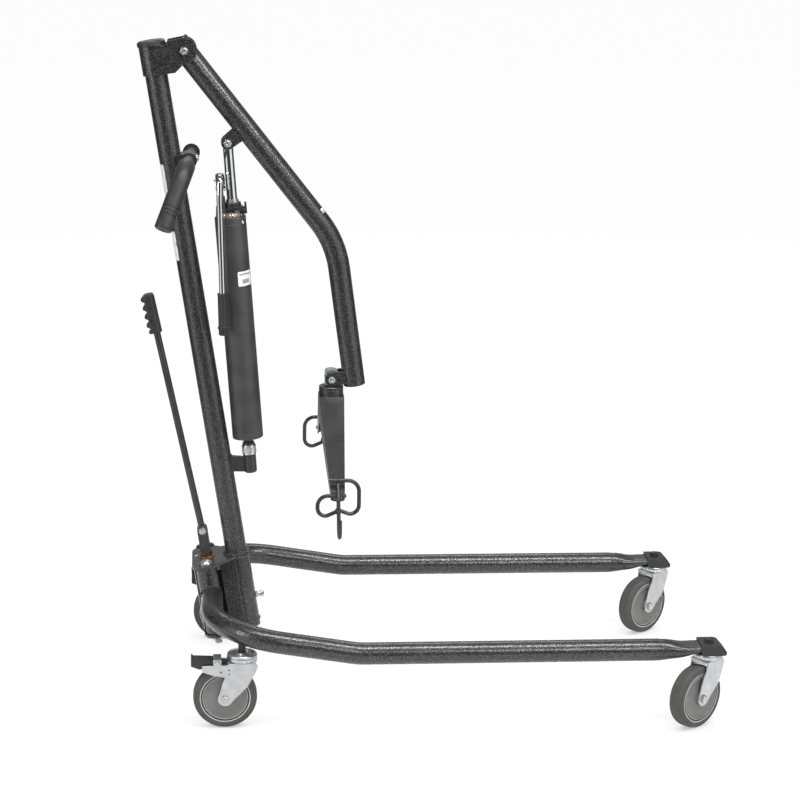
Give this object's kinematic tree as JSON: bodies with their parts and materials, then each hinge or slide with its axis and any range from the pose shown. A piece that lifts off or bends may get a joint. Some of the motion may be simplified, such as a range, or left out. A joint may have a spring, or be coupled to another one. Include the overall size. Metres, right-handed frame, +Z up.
{
  "type": "patient lift hoist",
  "caption": "Floor patient lift: leaning mast, cranked boom raised by a hand-pumped hydraulic jack, swivelling sling cradle and spreading legs on swivel casters.",
  "frame": {"origin": "centre of the bounding box footprint, on the floor under the casters", "axes": "+X forward from the mast towards the front casters, +Y to the left of someone holding the push handle, +Z up"},
  "size_m": [1.1688, 0.6625, 1.3454],
  "materials": {
    "hammertone": "dark grey hammered paint, glossy",
    "black_paint": "satin black powder coat",
    "black_plastic": "matt black moulded plastic",
    "grip": "soft black grip",
    "zinc": "bright zinc plate",
    "chrome": "polished chrome",
    "bronze": "oiled bronze",
    "tyre": "dark grey non-marking tread",
    "hub": "grey moulded wheel centre"
  },
  "bodies": {
    "mast_frame": {"base_bracket": "hammertone", "mast_socket": "hammertone", "mast_lock_screw": "zinc", "mast_tube": "hammertone", "mast_cap": "black_plastic", "boom_bracket": "hammertone", "boom_pivot_bolt": "zinc", "handle_bar": "black_paint", "handle_grips": "grip", "handle_clamp": "black_paint", "handle_screws": "zinc", "jack_seat": "black_paint", "leg_pivot_bolts": "zinc", "shifter_washer": "bronze"},
    "leg_left": {"leg_left_tube": "hammertone", "leg_left_end_cap": "black_plastic", "leg_left_caster_bolts": "black_paint"},
    "leg_right": {"leg_right_tube": "hammertone", "leg_right_end_cap": "black_plastic", "leg_right_caster_bolts": "black_paint"},
    "shifter_post": {"shifter_post": "black_paint", "shifter_bolt": "zinc"},
    "shifter_lever": {"shifter_lever": "black_paint", "shifter_grip": "grip"},
    "boom": {"boom_tube": "hammertone", "boom_pivot_bush": "bronze", "boom_end_cap": "black_plastic", "boom_jack_lugs": "hammertone", "boom_hanger_lugs": "hammertone", "jack_bolt_ends": "zinc", "hanger_pin": "zinc"},
    "hanger": {"hanger_block": "zinc"},
    "cradle": {"cradle_cup": "black_paint", "cradle_arm": "black_paint", "cradle_hooks": "black_paint"},
    "jack": {"jack_cylinder": "black_paint", "jack_foot": "black_paint", "jack_collar": "chrome", "pump_head": "black_paint", "pump_fittings": "zinc"},
    "ram": {"ram_rod": "chrome", "ram_eye": "chrome"},
    "pump_lever": {"pump_lever_rod": "chrome", "pump_lever_pin": "chrome", "pump_lever_grip": "grip"},
    "release_valve": {"release_valve": "black_plastic"},
    "caster_rear_left": {"caster_rear_left_fork": "zinc"},
    "wheel_rear_left": {"caster_rear_left_tyre": "tyre", "caster_rear_left_hub": "hub"},
    "pedal_left": {"caster_rear_left_pedal": "black_plastic"},
    "caster_rear_right": {"caster_rear_right_fork": "zinc"},
    "wheel_rear_right": {"caster_rear_right_tyre": "tyre", "caster_rear_right_hub": "hub"},
    "pedal_right": {"caster_rear_right_pedal": "black_plastic"},
    "caster_front_left": {"caster_front_left_fork": "zinc"},
    "wheel_front_left": {"caster_front_left_tyre": "tyre", "caster_front_left_hub": "hub"},
    "caster_front_right": {"caster_front_right_fork": "zinc"},
    "wheel_front_right": {"caster_front_right_tyre": "tyre", "caster_front_right_hub": "hub"}
  },
  "joints": [
    {"name": "leg_left_spread", "type": "hinge", "parent": "mast_frame", "child": "leg_left", "pos_m": [-0.44155, 0.06298, 0.1913], "axis": [-0.1571, 0, 0.9876], "range_deg": [0, 12.5]},
    {"name": "leg_right_spread", "type": "hinge", "parent": "mast_frame", "child": "leg_right", "pos_m": [-0.44155, -0.03102, 0.1913], "axis": [-0.1571, 0, 0.9876], "range_deg": [-12.5, 0]},
    {"name": "shifter_turn", "type": "hinge", "parent": "mast_frame", "child": "shifter_post", "pos_m": [-0.45116, 0.01598, 0.27078], "axis": [-0.1571, 0, 0.9876], "range_deg": [0, 90]},
    {"name": "shifter_tilt", "type": "hinge", "parent": "shifter_post", "child": "shifter_lever", "pos_m": [-0.46043, 0.01598, 0.32905], "axis": [0, -1, 0], "range_deg": [-3, 9]},
    {"name": "boom_lift", "type": "hinge", "parent": "mast_frame", "child": "boom", "pos_m": [-0.49184, 0.01598, 1.31471], "axis": [0, -1, 0], "range_deg": [0, 70]},
    {"name": "jack_tilt", "type": "hinge", "parent": "mast_frame", "child": "jack", "pos_m": [-0.36303, 0.01598, 0.489], "axis": [0, 1, 0], "range_deg": [0, 8.85]},
    {"name": "ram_slide", "type": "slide", "parent": "jack", "child": "ram", "axis": [-0.0785, 0, 0.9969], "range_m": [0, 0.19826]},
    {"name": "hanger_swing", "type": "hinge", "parent": "boom", "child": "hanger", "pos_m": [-0.19613, 0.01598, 0.65097], "axis": [0, -1, 0], "range_deg": [-70, 0]},
    {"name": "cradle_swivel", "type": "hinge", "parent": "hanger", "child": "cradle", "pos_m": [-0.19613, 0.01598, 0.61097], "axis": [0, 0, 1], "range_deg": [-60, 60]},
    {"name": "pump_lever_swing", "type": "hinge", "parent": "jack", "child": "pump_lever", "pos_m": [-0.42077, 0.00198, 1.04418], "axis": [-0.9969, 0, -0.0785], "range_deg": [0, 70]},
    {"name": "release_valve_turn", "type": "hinge", "parent": "jack", "child": "release_valve", "pos_m": [-0.37294, 0.01598, 0.99729], "axis": [0.9969, 0, 0.0785], "range_deg": [0, 90]},
    {"name": "caster_rear_left_swivel", "type": "hinge", "parent": "leg_left", "child": "caster_rear_left", "pos_m": [-0.38303, 0.27298, 0.144], "axis": [0, 0, 1], "continuous": true},
    {"name": "wheel_rear_left_spin", "type": "hinge", "parent": "caster_rear_left", "child": "wheel_rear_left", "pos_m": [-0.41653, 0.27298, 0.0635], "axis": [0, 1, 0], "continuous": true},
    {"name": "pedal_left_press", "type": "hinge", "parent": "caster_rear_left", "child": "pedal_left", "pos_m": [-0.43303, 0.27298, 0.135], "axis": [0, -1, 0], "range_deg": [0, 7]},
    {"name": "caster_rear_right_swivel", "type": "hinge", "parent": "leg_right", "child": "caster_rear_right", "pos_m": [-0.38303, -0.24102, 0.144], "axis": [0, 0, 1], "continuous": true},
    {"name": "wheel_rear_right_spin", "type": "hinge", "parent": "caster_rear_right", "child": "wheel_rear_right", "pos_m": [-0.41653, -0.24102, 0.0635], "axis": [0, 1, 0], "continuous": true},
    {"name": "pedal_right_press", "type": "hinge", "parent": "caster_rear_right", "child": "pedal_right", "pos_m": [-0.43303, -0.24102, 0.135], "axis": [0, -1, 0], "range_deg": [0, 7]},
    {"name": "caster_front_left_swivel", "type": "hinge", "parent": "leg_left", "child": "caster_front_left", "pos_m": [0.55097, 0.29698, 0.144], "axis": [0, 0, 1], "continuous": true},
    {"name": "wheel_front_left_spin", "type": "hinge", "parent": "caster_front_left", "child": "wheel_front_left", "pos_m": [0.52404, 0.27705, 0.0635], "axis": [-0.5948, 0.8039, 0], "continuous": true},
    {"name": "caster_front_right_swivel", "type": "hinge", "parent": "leg_right", "child": "caster_front_right", "pos_m": [0.55097, -0.26502, 0.144], "axis": [0, 0, 1], "continuous": true},
    {"name": "wheel_front_right_spin", "type": "hinge", "parent": "caster_front_right", "child": "wheel_front_right", "pos_m": [0.52404, -0.28495, 0.0635], "axis": [-0.5948, 0.8039, 0], "continuous": true}
  ],
  "couplings": [
    {"joint": "leg_right_spread", "follows": "leg_left_spread", "ratio": -1},
    {"joint": "shifter_turn", "follows": "leg_left_spread", "ratio": 7.2},
    {"joint": "jack_tilt", "follows": "boom_lift", "ratio": 0.12648},
    {"joint": "ram_slide", "follows": "boom_lift", "m_per_rad": 0.16227},
    {"joint": "hanger_swing", "follows": "boom_lift", "ratio": -1}
  ]
}
